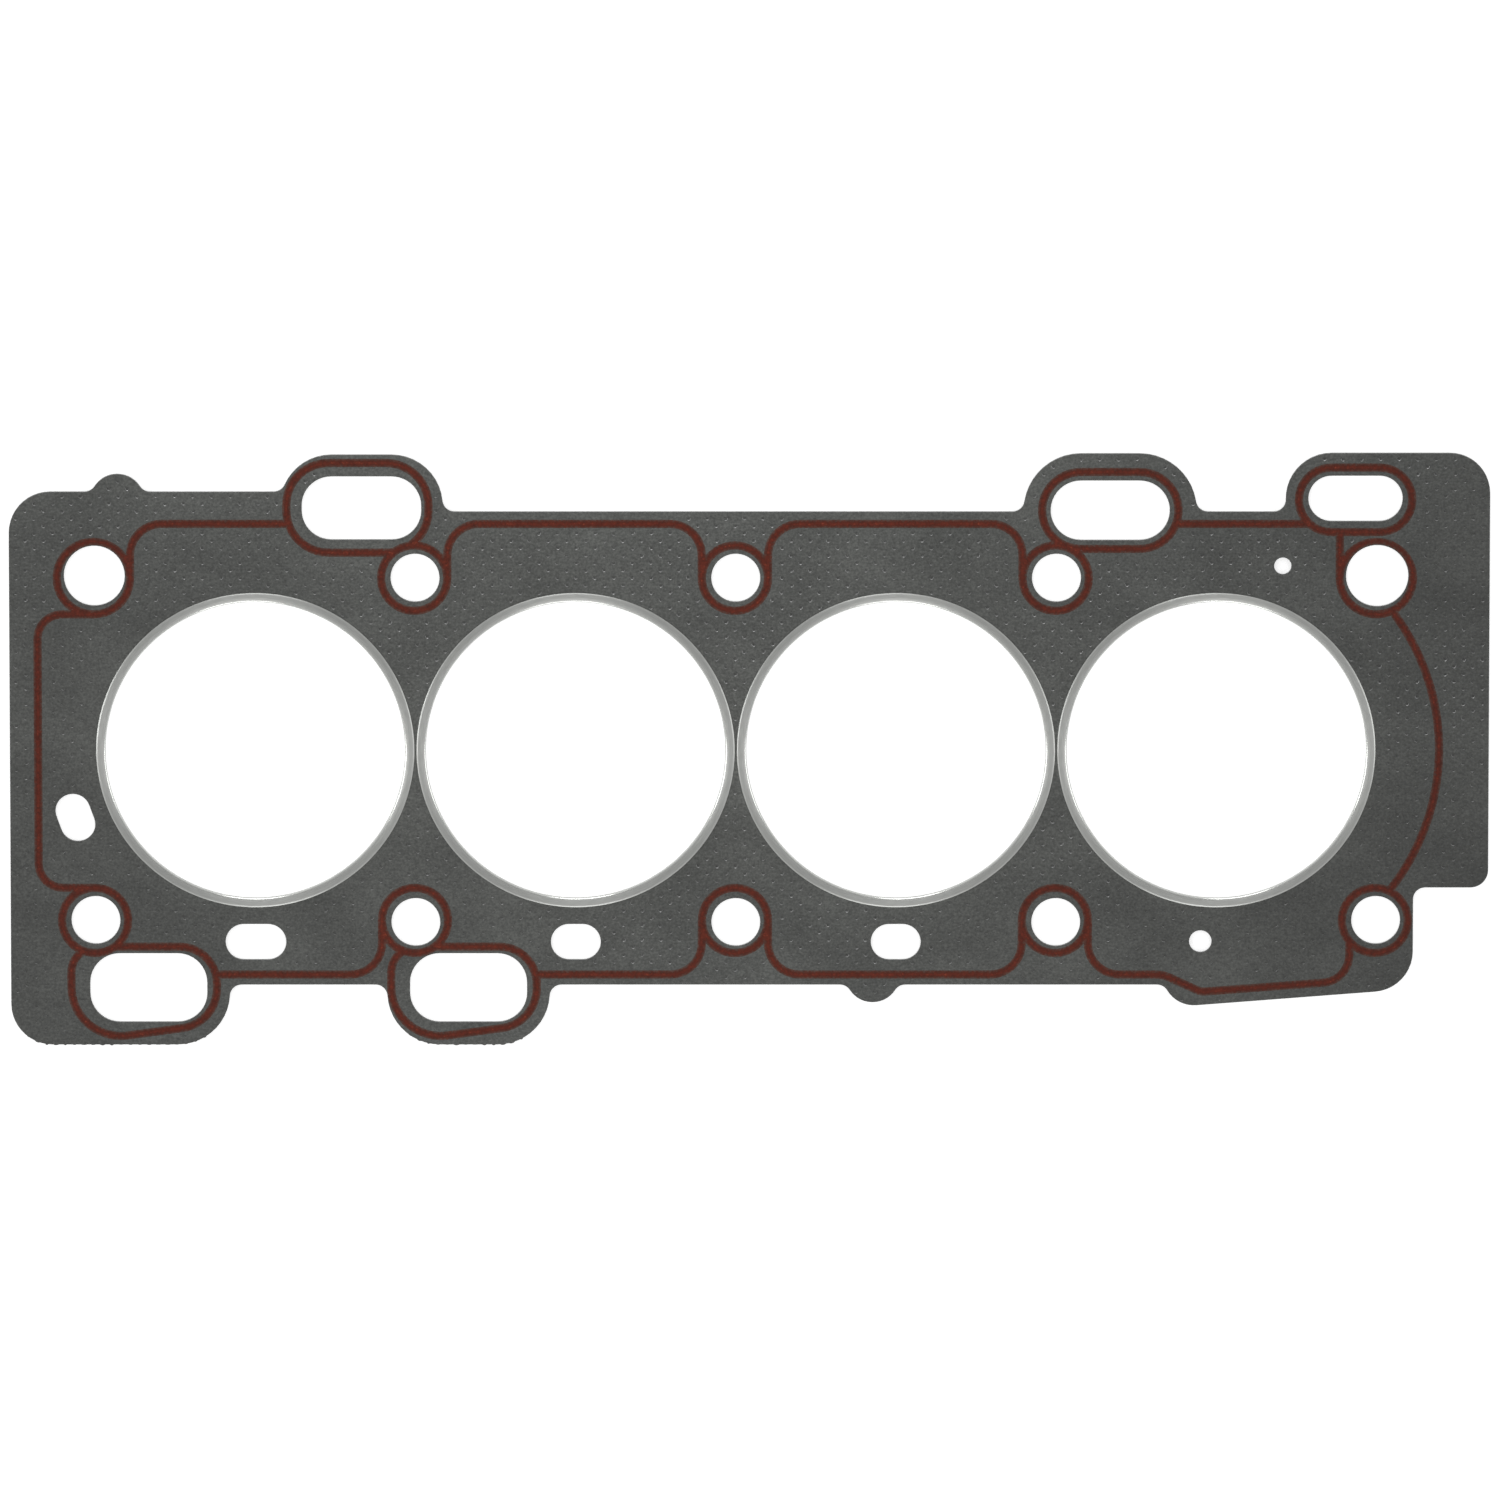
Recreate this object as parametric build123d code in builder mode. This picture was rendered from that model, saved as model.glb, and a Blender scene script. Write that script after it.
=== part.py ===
"""Cylinder head gasket of an in-line four-cylinder engine, in millimetres.

A tanged steel core lies between two graphite facings. Four folded steel fire rings clasp the edges of the
bores, and a silicone bead is printed on both faces round the bolt holes, the ports and the whole deck.

The gasket lies flat: X runs along the row of bores, Y across it and Z up. The origin is on the deck, midway
along the row of bores, and the lower flanges of the fire rings stand on Z = 0.
"""

import os
from math import acos, atan2, cos, degrees, hypot, radians, sin, sqrt

from build123d import *

# Bores and head bolts
bore_diameter = 85.0
bore_bridge = 6.0
bolt_row_spacing = 99.0
bolt_hole_diameter = 13.9
left_dowel_hole_diameter = 17.3
right_dowel_hole_diameter = 17.7
end_hole_lift = 0.6

# Layers of the body
core_thickness = 0.25
facing_thickness = 0.575

# Fire rings
ring_sheet = 0.18
ring_gap = 0.6
ring_bend_radius = 0.7
ring_rise = 0.12
ring_clearance = 0.05

# Edges of the body, measured from the centre lines of the bores and of the outer bolt columns
upper_edge = 68.4
upper_left_edge = 74.1
lower_edge = 67.5
left_overhang = 24.2
right_overhang = 10.6
tab_overhang = 31.9
tab_lower_edge = 39.5
left_corner_radius = 11.7
tab_upper_corner_radius = 11.4
tab_lower_corner_radius = 5.0
root_radius = 3.4

# Round ears on the upper and lower edges
ear_radius = 7.65
ear_rise = 5.1
upper_ear_offset = 6.6
lower_ear_offset = -6.6

# Sloped lower right edge, drawn tangent to two round corners
slope_start_radius = 8.9
slope_start_offset = -6.1
slope_start_y = -64.6
slope_end_radius = 11.6
slope_end_y = -58.0

# Oil and air ports, placed from the bolt column beside each, with the land of body round them
upper_left_port_width = 33.9
upper_left_port_height = 18.2
upper_left_port_corner = 8.4
upper_left_port_offset = -15.15
upper_left_port_y = 69.5
upper_left_port_land = 6.1
upper_right_port_width = 33.8
upper_right_port_height = 17.15
upper_right_port_offset = 15.2
upper_right_port_y = 68.85
upper_right_port_land = 7.65
corner_port_width = 26.75
corner_port_height = 13.1
corner_port_offset = -6.25
corner_port_y = 72.25
corner_port_land = 6.4
lower_port_width = 33.3
lower_port_height = 19.9
lower_port_corner = 8.45
lower_port_offset = 14.95
lower_port_y = -68.4
lower_port_land = 6.45

# Coolant slots under the first three bores, the tilted slot at the left and two vent holes
coolant_slot_height = 10.35
long_coolant_slot_width = 17.25
short_coolant_slot_width = 14.2
coolant_slot_y = -55.2
tilted_slot_length = 13.95
tilted_slot_width = 9.9
tilted_slot_angle = 110.0
tilted_slot_offset = -5.7
tilted_slot_y = -19.4
lower_vent_diameter = 6.4
lower_vent_offset = -4.35
lower_vent_y = -55.05
upper_vent_diameter = 4.9
upper_vent_offset = 18.7
upper_vent_y = 52.9

# Printed silicone bead, by its centre line
bead_width = 2.4
bead_height = 0.1
bead_shift = -0.25
upper_bead_row = 49.45
lower_bead_row = 49.0
bead_ring_radius = 9.4
bead_dowel_ring_radius = 10.4
bead_land = 0.15
bead_upper_line = 65.0
bead_lower_line = 64.6
bead_bend_radius = 9.0
bead_left_margin = 8.0
bead_left_bend_radius = 7.0
sweep_reach = 63.3
sweep_landing_angle = 64.5
dip_start_offset = 30.5
dip_end_offset = 41.4
dip_depth = 5.0
dip_rise = 3.2
dip_start_radius = 9.0
dip_end_radius = 5.0
dip_last_radius = 8.0
dip_landing = 7.2

# Bead loops round the ports
upper_left_loop_width = 40.3
upper_left_loop_height = 25.7
upper_left_loop_corner = 12.0
upper_left_loop_offset = -16.3
upper_left_loop_y = 69.6
upper_right_loop_gap = 2.45
corner_loop_gap = 2.7
corner_loop_drop = 0.35
lower_loop_left = 22.0
lower_loop_right = 19.4
lower_loop_top = 11.85
lower_loop_right_depth = 10.3
lower_loop_left_depth = 16.0
lower_loop_radii = (7.5, 10.6, 11.5, 14.0)

# Worked out from the sizes above
bore_pitch = bore_diameter + bore_bridge
half_row = bolt_row_spacing / 2
column_x = [bore_pitch * (i - 2) for i in range(5)]
bore_x = [bore_pitch * (i - 1.5) for i in range(4)]
left_edge = column_x[0] - left_overhang
right_edge = column_x[4] + right_overhang
tab_edge = column_x[4] + tab_overhang

upper_left_port_x = column_x[1] + upper_left_port_offset
upper_right_port_x = column_x[3] + upper_right_port_offset
corner_port_x = column_x[4] + corner_port_offset
lower_port_x = [column_x[0] + lower_port_offset, column_x[1] + lower_port_offset]
tab_upper_edge = corner_port_y + corner_port_height / 2 + corner_port_land
lower_boss_edge = lower_port_y - lower_port_height / 2 - lower_port_land
slope_start_x = bore_x[3] + slope_start_offset
slope_end_x = right_edge - slope_end_radius
slope_run = slope_end_x - slope_start_x
slope_fall = slope_end_y - slope_start_y
slope_ratio = (slope_start_radius - slope_end_radius) / hypot(slope_run, slope_fall)
slope_angle = degrees(atan2(slope_fall, slope_run) - acos(slope_ratio))
upper_ear_x = column_x[0] + upper_ear_offset
lower_ear_x = bore_x[2] + lower_ear_offset
upper_left_loop_x = column_x[1] + upper_left_loop_offset
half_bead = bead_width / 2

body_thickness = core_thickness + 2 * facing_thickness
ring_height = body_thickness + 2 * ring_rise
ring_inner_radius = bore_diameter / 2
ring_outer_radius = (bore_pitch - ring_gap) / 2
ring_inside_chamfer = (ring_bend_radius - ring_sheet) * (2 - sqrt(2))
seat_depth = ring_sheet - ring_rise
seat_radius = ring_outer_radius + ring_clearance
body_bore_radius = ring_inner_radius + ring_bend_radius + ring_clearance

body_bottom = ring_rise
core_bottom = body_bottom + facing_thickness
core_top = core_bottom + core_thickness
body_top = core_top + facing_thickness

# Bolt and dowel holes as (x, y, diameter), the end ones a little higher than the rows between them
end_hole_x = (column_x[0], column_x[4])
holes = [(x, y, bolt_hole_diameter) for x in column_x[1:4] for y in (-half_row, half_row)]
holes += [(x, end_hole_lift - half_row, bolt_hole_diameter) for x in end_hole_x]
holes.append((column_x[0], end_hole_lift + half_row, left_dowel_hole_diameter))
holes.append((column_x[4], end_hole_lift + half_row, right_dowel_hole_diameter))

# Bead rings round the holes as (x, y, radius of the centre line)
bead_x = [x + bead_shift for x in column_x]
bead_rings = [(x, -lower_bead_row, bead_ring_radius) for x in bead_x]
bead_rings += [(x, upper_bead_row, bead_ring_radius) for x in bead_x[1:4]]
bead_rings += [(x, upper_bead_row, bead_dowel_ring_radius) for x in (bead_x[0], bead_x[4])]


def bead_run(points, radius):
    """A bead of constant width along straight lines joined by round bends."""
    with BuildLine(mode=Mode.PRIVATE) as centre_line:
        FilletPolyline(*points, radius=radius)
    trace(centre_line.edges(), line_width=bead_width)


def loop_areas(margin):
    """The areas inside the five bead loops round the ports, taken to a margin beyond their centre lines."""
    with BuildSketch(mode=Mode.PRIVATE) as areas:
        with Locations((upper_left_loop_x, upper_left_loop_y)):
            RectangleRounded(
                upper_left_loop_width + 2 * margin,
                upper_left_loop_height + 2 * margin,
                upper_left_loop_corner + margin,
            )
        with Locations((upper_right_port_x, upper_right_port_y)):
            SlotOverall(
                upper_right_port_width + 2 * (upper_right_loop_gap + margin),
                upper_right_port_height + 2 * (upper_right_loop_gap + margin),
            )
        with Locations((corner_port_x, corner_port_y - corner_loop_drop)):
            SlotOverall(
                corner_port_width + 2 * (corner_loop_gap + margin),
                corner_port_height + 2 * (corner_loop_gap + margin),
            )
        for x in lower_port_x:
            with BuildSketch(mode=Mode.PRIVATE) as lower_area:
                with BuildLine():
                    FilletPolyline(
                        (x - lower_loop_left, lower_port_y + lower_loop_top),
                        (x + lower_loop_right, lower_port_y + lower_loop_top),
                        (x + lower_loop_right, lower_port_y - lower_loop_right_depth),
                        (x - lower_loop_left, lower_port_y - lower_loop_left_depth),
                        radius=lower_loop_radii,
                        close=True,
                    )
                make_face()
                offset(amount=margin)
            add(lower_area.sketch)
    return areas.sketch


def block(x_from, x_to, y_from, y_to):
    """A rectangle between two opposite corners."""
    with Locations(((x_from + x_to) / 2, (y_from + y_to) / 2)):
        Rectangle(x_to - x_from, y_to - y_from)


def corner_at(sketch, x, y):
    """The vertex of a sketch that lies nearest to a point."""
    return sketch.vertices().sort_by_distance((x, y, 0))[0]


def polar_point(x, y, radius, angle):
    """The point at a distance and an angle in degrees from a centre."""
    return (x + radius * cos(radians(angle)), y + radius * sin(radians(angle)))


# The outline: blocks and bosses joined, then their corners and roots rounded
with BuildSketch() as outline:
    block(left_edge, slope_start_x, -lower_edge, upper_edge)
    block(slope_start_x, right_edge, slope_end_y, upper_edge)
    block(left_edge, upper_left_port_x, 0, upper_left_edge)
    block(left_edge, lower_port_x[0], lower_boss_edge, 0)
    block(corner_port_x, tab_edge, -tab_lower_edge, tab_upper_edge)
    with Locations((upper_left_port_x, upper_left_port_y)):
        RectangleRounded(
            upper_left_port_width + 2 * upper_left_port_land,
            upper_left_port_height + 2 * upper_left_port_land,
            upper_left_port_corner + upper_left_port_land,
        )
    with Locations((upper_right_port_x, upper_right_port_y)):
        SlotOverall(
            upper_right_port_width + 2 * upper_right_port_land,
            upper_right_port_height + 2 * upper_right_port_land,
        )
    with Locations((corner_port_x, corner_port_y)):
        SlotOverall(corner_port_width + 2 * corner_port_land, corner_port_height + 2 * corner_port_land)
    with Locations(*[(x, lower_port_y) for x in lower_port_x]):
        RectangleRounded(
            lower_port_width + 2 * lower_port_land,
            lower_port_height + 2 * lower_port_land,
            lower_port_corner + lower_port_land,
        )
    with Locations(
        (upper_ear_x, upper_left_edge + ear_rise - ear_radius),
        (lower_ear_x, -lower_edge - ear_rise + ear_radius),
    ):
        Circle(ear_radius)
    with Locations((slope_start_x, slope_start_y)):
        Circle(slope_start_radius)
    with Locations((slope_end_x, slope_end_y)):
        Circle(slope_end_radius)
    Polygon(
        (slope_start_x, slope_start_y),
        polar_point(slope_start_x, slope_start_y, slope_start_radius, slope_angle),
        polar_point(slope_end_x, slope_end_y, slope_end_radius, slope_angle),
        (slope_end_x, slope_end_y),
        align=None,
    )
    fillet(corner_at(outline, left_edge, upper_left_edge), left_corner_radius)
    fillet(corner_at(outline, left_edge, lower_boss_edge), left_corner_radius)
    fillet(corner_at(outline, tab_edge, tab_upper_edge), tab_upper_corner_radius)
    fillet(corner_at(outline, tab_edge, -tab_lower_edge), tab_lower_corner_radius)
    offset(amount=root_radius)
    offset(amount=-root_radius)

# The plan of every layer of the body: the outline with its holes, ports and slots
with BuildSketch() as body_plan:
    add(outline.sketch)
    for x, y, diameter in holes:
        with Locations((x, y)):
            Circle(diameter / 2, mode=Mode.SUBTRACT)
    with Locations((upper_left_port_x, upper_left_port_y)):
        RectangleRounded(
            upper_left_port_width, upper_left_port_height, upper_left_port_corner, mode=Mode.SUBTRACT
        )
    with Locations((upper_right_port_x, upper_right_port_y)):
        SlotOverall(upper_right_port_width, upper_right_port_height, mode=Mode.SUBTRACT)
    with Locations((corner_port_x, corner_port_y)):
        SlotOverall(corner_port_width, corner_port_height, mode=Mode.SUBTRACT)
    with Locations(*[(x, lower_port_y) for x in lower_port_x]):
        RectangleRounded(lower_port_width, lower_port_height, lower_port_corner, mode=Mode.SUBTRACT)
    with Locations((bore_x[0], coolant_slot_y)):
        SlotOverall(long_coolant_slot_width, coolant_slot_height, mode=Mode.SUBTRACT)
    with Locations(*[(x, coolant_slot_y) for x in bore_x[1:3]]):
        SlotOverall(short_coolant_slot_width, coolant_slot_height, mode=Mode.SUBTRACT)
    with Locations((column_x[0] + tilted_slot_offset, tilted_slot_y)):
        SlotOverall(tilted_slot_length, tilted_slot_width, rotation=tilted_slot_angle, mode=Mode.SUBTRACT)
    with Locations((bore_x[3] + lower_vent_offset, lower_vent_y)):
        Circle(lower_vent_diameter / 2, mode=Mode.SUBTRACT)
    with Locations((bore_x[3] + upper_vent_offset, upper_vent_y)):
        Circle(upper_vent_diameter / 2, mode=Mode.SUBTRACT)
    with Locations(*[(x, 0) for x in bore_x]):
        Circle(body_bore_radius, mode=Mode.SUBTRACT)

# Where the bead runs turn and end
link_x = bead_x[4] - bead_dowel_ring_radius
dip_y = -bead_lower_line - dip_depth
landing_x = bead_x[4] - dip_landing
left_run_x = left_edge + bead_left_margin
left_run_top = upper_bead_row - bead_dowel_ring_radius
left_run_bottom = bead_ring_radius - lower_bead_row
sweep_y = (upper_bead_row - lower_bead_row) / 2
sweep_start = polar_point(bead_x[4], -lower_bead_row, bead_ring_radius, sweep_landing_angle)
sweep_end = polar_point(bead_x[4], upper_bead_row, bead_dowel_ring_radius, -sweep_landing_angle)

# The plan of the silicone bead: loops round the ports with runs between them, then a ring round every hole
with BuildSketch() as bead_plan:
    add(loop_areas(half_bead))
    first_run = [
        (bead_x[0] + bead_dowel_ring_radius, upper_bead_row),
        (bead_x[0] + bead_dowel_ring_radius, bead_upper_line),
        (upper_left_loop_x, bead_upper_line),
    ]
    bead_run(first_run, bead_bend_radius)
    for i in (1, 2):
        upper_run = [
            (bead_x[i] + bead_ring_radius, upper_bead_row),
            (bead_x[i] + bead_ring_radius, bead_upper_line),
            (bead_x[i + 1] - bead_ring_radius, bead_upper_line),
            (bead_x[i + 1] - bead_ring_radius, upper_bead_row),
        ]
        bead_run(upper_run, bead_bend_radius)
    block(upper_right_port_x, corner_port_x, bead_upper_line - half_bead, bead_upper_line + half_bead)
    block(link_x - half_bead, link_x + half_bead, upper_bead_row, corner_port_y)
    left_run = [
        (bead_x[0], left_run_top),
        (left_run_x, left_run_top),
        (left_run_x, left_run_bottom),
        (bead_x[0], left_run_bottom),
    ]
    bead_run(left_run, bead_left_bend_radius)
    for i in (0, 1):
        lower_run = [
            (lower_port_x[i], -bead_lower_line),
            (bead_x[i + 1] - bead_ring_radius, -bead_lower_line),
            (bead_x[i + 1] - bead_ring_radius, -lower_bead_row),
        ]
        bead_run(lower_run, bead_bend_radius)
    middle_run = [
        (bead_x[2] + bead_ring_radius, -lower_bead_row),
        (bead_x[2] + bead_ring_radius, -bead_lower_line),
        (bead_x[3] - bead_ring_radius, -bead_lower_line),
        (bead_x[3] - bead_ring_radius, -lower_bead_row),
    ]
    bead_run(middle_run, bead_bend_radius)
    dipped_run = [
        (bead_x[3] + bead_ring_radius, -lower_bead_row),
        (bead_x[3] + bead_ring_radius, -bead_lower_line),
        (column_x[3] + dip_start_offset, -bead_lower_line),
        (column_x[3] + dip_end_offset, dip_y),
        (landing_x, dip_y + dip_rise),
        (landing_x, -lower_bead_row),
    ]
    bead_run(dipped_run, (bead_bend_radius, dip_start_radius, dip_end_radius, dip_last_radius))
    with BuildLine():
        ThreePointArc(sweep_start, (bore_x[3] + sweep_reach, sweep_y), sweep_end)
    trace(line_width=bead_width)
    add(loop_areas(-half_bead), mode=Mode.SUBTRACT)
    for x, y, radius in bead_rings:
        with Locations((x, y)):
            Circle(radius + half_bead)
    for x, y, radius in bead_rings:
        with Locations((x, y)):
            Circle(radius - half_bead, mode=Mode.SUBTRACT)
    for x, y, diameter in holes:
        with Locations((x, y)):
            Circle(diameter / 2 + bead_land, mode=Mode.SUBTRACT)
    with Locations(*[(x, lower_port_y) for x in lower_port_x]):
        RectangleRounded(
            lower_port_width + 2 * bead_land,
            lower_port_height + 2 * bead_land,
            lower_port_corner + bead_land,
            mode=Mode.SUBTRACT,
        )

# The section of a fire ring from its bore's axis: the outside of the fold and the space inside it
with BuildSketch() as ring_outside:
    block(ring_inner_radius, ring_outer_radius, 0, ring_height)
    fillet(ring_outside.vertices().group_by(Axis.X)[0], ring_bend_radius)
with BuildSketch() as ring_inside:
    block(ring_inner_radius + ring_sheet, ring_outer_radius, ring_sheet, ring_height - ring_sheet)
    chamfer(ring_inside.vertices().group_by(Axis.X)[0], ring_inside_chamfer)

os.makedirs("parts", exist_ok=True)

# The steel core
with BuildPart() as steel_core:
    with BuildSketch(Plane.XY.offset(core_bottom)):
        add(body_plan.sketch)
    extrude(amount=core_thickness)
steel_core.part.label = "steel_core"
export_step(steel_core.part, "parts/steel_core.step")

# The graphite facings, each with a round seat pressed in by the flange of every fire ring
with BuildPart() as upper_facing:
    with BuildSketch(Plane.XY.offset(core_top)):
        add(body_plan.sketch)
    extrude(amount=facing_thickness)
    with BuildSketch(Plane.XY.offset(body_top - seat_depth)):
        with Locations(*[(x, 0) for x in bore_x]):
            Circle(seat_radius)
    extrude(amount=seat_depth, mode=Mode.SUBTRACT)
upper_facing.part.label = "upper_facing"
export_step(upper_facing.part, "parts/upper_facing.step")

with BuildPart() as lower_facing:
    with BuildSketch(Plane.XY.offset(body_bottom)):
        add(body_plan.sketch)
    extrude(amount=facing_thickness)
    with BuildSketch(Plane.XY.offset(body_bottom)):
        with Locations(*[(x, 0) for x in bore_x]):
            Circle(seat_radius)
    extrude(amount=seat_depth, mode=Mode.SUBTRACT)
lower_facing.part.label = "lower_facing"
export_step(lower_facing.part, "parts/lower_facing.step")

# The fire rings, each one sheet folded round the edge of its bore with a flange on either face
for i, x in enumerate(bore_x):
    with BuildPart() as fire_ring:
        with BuildSketch(Plane.XZ):
            with Locations((x, 0)):
                add(ring_outside.sketch)
                add(ring_inside.sketch, mode=Mode.SUBTRACT)
        revolve(axis=Axis((x, 0, 0), (0, 0, 1)))
    fire_ring.part.label = f"fire_ring_{i + 1}"
    export_step(fire_ring.part, f"parts/fire_ring_{i + 1}.step")

# The silicone bead printed on either face
with BuildPart() as upper_seal_bead:
    with BuildSketch(Plane.XY.offset(body_top)):
        add(bead_plan.sketch)
    extrude(amount=bead_height)
upper_seal_bead.part.label = "upper_seal_bead"
export_step(upper_seal_bead.part, "parts/upper_seal_bead.step")

with BuildPart() as lower_seal_bead:
    with BuildSketch(Plane.XY.offset(body_bottom - bead_height)):
        add(bead_plan.sketch)
    extrude(amount=bead_height)
lower_seal_bead.part.label = "lower_seal_bead"
export_step(lower_seal_bead.part, "parts/lower_seal_bead.step")
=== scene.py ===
"""The looks of a cylinder head gasket that lies on a white table and is seen from almost straight above.

Lengths are in millimetres and angles in degrees; MM turns lengths into the frame's metres. The faces of the
graphite and of the seal bead are cut anew from the outlines of the solids, with the dents that the tangs
leave in the graphite and the rounded back of the printed bead. The fire rings are turned anew from their
folded section, in finer steps.
"""
import math
import random

import bpy
import numpy as np
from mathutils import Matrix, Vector, geometry, kdtree, noise
from mathutils.bvhtree import BVHTree


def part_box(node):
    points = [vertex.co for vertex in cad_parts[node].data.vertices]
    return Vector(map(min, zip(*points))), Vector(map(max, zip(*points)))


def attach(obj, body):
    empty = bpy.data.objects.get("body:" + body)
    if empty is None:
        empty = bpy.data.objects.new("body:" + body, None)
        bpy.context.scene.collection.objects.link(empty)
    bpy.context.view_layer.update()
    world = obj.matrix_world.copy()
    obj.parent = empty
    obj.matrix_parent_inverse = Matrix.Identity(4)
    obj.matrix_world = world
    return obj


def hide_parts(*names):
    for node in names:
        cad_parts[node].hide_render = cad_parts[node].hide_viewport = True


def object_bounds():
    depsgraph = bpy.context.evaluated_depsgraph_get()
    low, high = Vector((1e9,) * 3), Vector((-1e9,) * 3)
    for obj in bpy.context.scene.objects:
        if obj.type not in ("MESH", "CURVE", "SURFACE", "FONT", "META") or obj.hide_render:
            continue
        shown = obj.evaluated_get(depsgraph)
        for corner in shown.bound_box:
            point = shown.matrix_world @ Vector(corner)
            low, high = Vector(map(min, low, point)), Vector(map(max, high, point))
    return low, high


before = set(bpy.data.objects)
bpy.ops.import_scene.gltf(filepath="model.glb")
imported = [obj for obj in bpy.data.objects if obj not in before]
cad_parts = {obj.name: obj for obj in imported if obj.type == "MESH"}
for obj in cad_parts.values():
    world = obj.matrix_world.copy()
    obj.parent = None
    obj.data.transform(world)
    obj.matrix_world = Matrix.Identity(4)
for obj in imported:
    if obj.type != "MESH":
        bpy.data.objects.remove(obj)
cad_low, cad_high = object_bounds()
MM = 0.001
SEED = 7

# Meshes: the smallest angle of a sharp edge, how far a corner may lie from a level and still be on it, and
# the height from which a ray looks for a face
sharp_angle = 35.0
level_tolerance = 0.001
ray_height = 10.0

# Corners, in metres: how many steps a metre has where corners are told apart, and how near joined ones lie
key_scale = 1e7
join_distance = 1e-9

# Burrs along the sheared edges below a line: pitch, ranges of their half width and reach, and their taper
burr_top = -80.0
burr_pitch = 2.651
burr_half_width = (0.4, 0.9)
burr_reach = (0.05, 0.3)
burr_taper = 3

# Camera
view_width = 426.1
view_centre = (4.04, 0.1)
camera_distance = 6000.0
camera_tilt = 9.0
sensor_width = 36.0

# Light tent: the strength of its walls and of its top, and how high the one turns into the other
wall_strength = 0.7
top_strength = 0.15
wall_end = 62.0
top_start = 82.0

# Lamps: for each one its direction from the gasket, its side and its share of the light that whitens a floor
lamp_distance = 2200.0
lamps = {
    "upper_lamp": {"azimuth": 95.0, "elevation": 32.0, "size": 900.0, "share": 0.12},
    "left_lamp": {"azimuth": 180.0, "elevation": 32.0, "size": 900.0, "share": 0.12},
    "lower_lamp": {"azimuth": 270.0, "elevation": 26.0, "size": 900.0, "share": 0.08},
    "right_lamp": {"azimuth": 0.0, "elevation": 32.0, "size": 900.0, "share": 0.08},
}

# Floor: its colour, how far it is lifted towards white where it is seen, and its gap below the gasket
floor_size = 6000.0
floor_albedo = 0.84
floor_lift = 0.5
floor_roughness = 0.9
floor_gap = 0.01

# Noises of the materials: bumps in a millimetre after any stretch, layers of detail and how strong those are
noises = {
    "streaks": {"Scale": 1.0, "Detail": 3.0, "Roughness": 0.6},
    "grain": {"Scale": 1.5, "Detail": 4.0, "Roughness": 0.7},
    "clouds": {"Scale": 1.0, "Detail": 2.0, "Roughness": 0.5},
    "speckle": {"Scale": 1.4, "Detail": 4.0, "Roughness": 0.7},
    "patches": {"Scale": 0.9, "Detail": 3.0, "Roughness": 0.7},
    "brushing": {"Scale": 1.0, "Detail": 3.0, "Roughness": 0.6},
    "rolling": {"Scale": 8.0, "Detail": 2.0, "Roughness": 0.5},
}

# Painted shade: darkening towards both ends, where the light falls off, by the square of the distance from a
# middle, as (x + shift) times a slope
end_shift = 25.0
end_slope = 0.005

# Graphite: its noises with their stretches and shares, and the display greys that their sum runs through
streak_stretch = (0.8, 2.2, 1.0)
streak_share = 0.25
grain_share = 0.55
cloud_stretch = (0.04, 0.06, 0.05)
cloud_share = 0.2
graphite_greys = {0.36: 55, 0.5: 76, 0.64: 97}
graphite_tint = (0.965, 1.0, 0.935)
graphite_roughness = (0.5, 0.68)
graphite_grain_rise = 0.7
graphite_bump_depth = 0.03
graphite_bump_strength = 0.7

# Tone of the graphite: paler bands along it, paler upwards, and painted shade that darkens it towards the
# ends and in the dents
band_pitch = 88.0
band_gain = 0.06
upward_gain = 0.0007
graphite_end_painted_shade = 0.25
dent_painted_shade = 0.25

# Bead: how far its rows of points lie from its edge, and how high it has risen there as a part of its crown
bead_rows = {0.1: 0.55, 0.32: 0.82, 0.7: 0.97, 1.05: 1.0}
bead_step = 0.9
bead_half_width = 1.2
bead_row_clearance = 0.97
bead_crown_start = 0.85

# Silicone: display colours from its thin edge to the flecks on its crown, and how far its noises change them
silicone_colours = {
    0.0: (76, 60, 54),
    0.25: (76, 42, 33),
    0.5: (76, 30, 18),
    0.8: (90, 34, 21),
    1.0: (128, 60, 38),
}
silicone_crown_share = 0.7
silicone_speckle_share = 1.3
silicone_patches = (0.35, 1.75)
# Painted shade towards both ends of the bead
silicone_end_painted_shade = 0.12
silicone_roughness = 0.6
silicone_gloss = 0.2
silicone_bump_depth = 0.02
silicone_bump_strength = 0.6

# Fire rings: the measures of the folded section, as in the solids, and how finely it is turned
ring_count = 4
ring_bore_radius = 42.5
ring_bend_radius = 0.7
ring_sheet = 0.18
ring_land = 0.04
ring_steps = 288
bend_steps = 12

# Steel of the fire rings, at parts of their outer radius: how high the flange stands, which rolls off to its
# edges, and how rough it is; then its greys, its tints, and the lines that brushing leaves round the bore
ring_roll = {0.953: 0.0, 0.962: 0.5, 0.969: 0.8, 0.985: 0.85, 0.992: 0.82, 1.0: 0.0}
ring_roll_depth = 0.15
ring_roughness = {0.951: 0.22, 0.958: 0.42}
ring_greys = {0.3: 190, 0.7: 206}
ring_tint = (0.985, 1.0, 0.965)
# The dark edge tint is painted shade: it darkens the steel where it is seen edge-on, along the walls of the
# bores
ring_edge_painted_shade = (0.45, 0.45, 0.45, 1.0)
ring_anisotropy = 0.7
ring_brush_turn = 0.25
ring_brush_lines = 180.0
ring_brush_parts = 14.0
ring_brush_rise = 0.03

# Steel of the core and of its tangs, which are smeared with graphite
core_greys = {0.3: 135, 0.7: 160}
# The tangs' paler greys partly paint the highlight on the lower lips of the dents
tang_greys = {0.3: 122, 0.7: 148}
core_roughness = 0.38

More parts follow.
